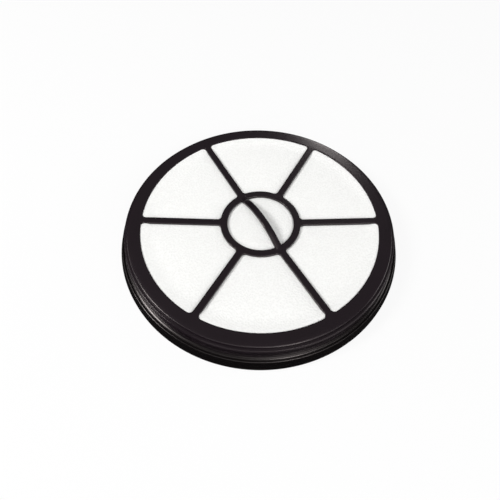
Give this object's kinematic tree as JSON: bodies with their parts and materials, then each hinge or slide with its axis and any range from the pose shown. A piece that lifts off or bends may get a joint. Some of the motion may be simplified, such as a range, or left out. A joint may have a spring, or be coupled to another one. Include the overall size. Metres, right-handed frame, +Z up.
{
  "type": "vacuum foam filter",
  "caption": "Round vacuum filter: black moulded frame with a spoked grille and bowed finger bar over a white foam disc, with a beaded rubber seal round its foot.",
  "frame": {"origin": "centre of the filter at the level of its foot, where the skirt and the seal stand", "axes": "+Z up along the filter's axis, out of the grille face; +X along one spoke"},
  "size_m": [0.1512, 0.1512, 0.0182],
  "materials": {
    "frame_plastic": "satin black moulded ABS",
    "seal_rubber": "smooth black moulded rubber",
    "filter_foam": "white open-cell polyurethane foam"
  },
  "bodies": {
    "root": {"filter_frame": "frame_plastic", "seal_ring": "seal_rubber", "foam_pad": "filter_foam"}
  },
  "joints": []
}
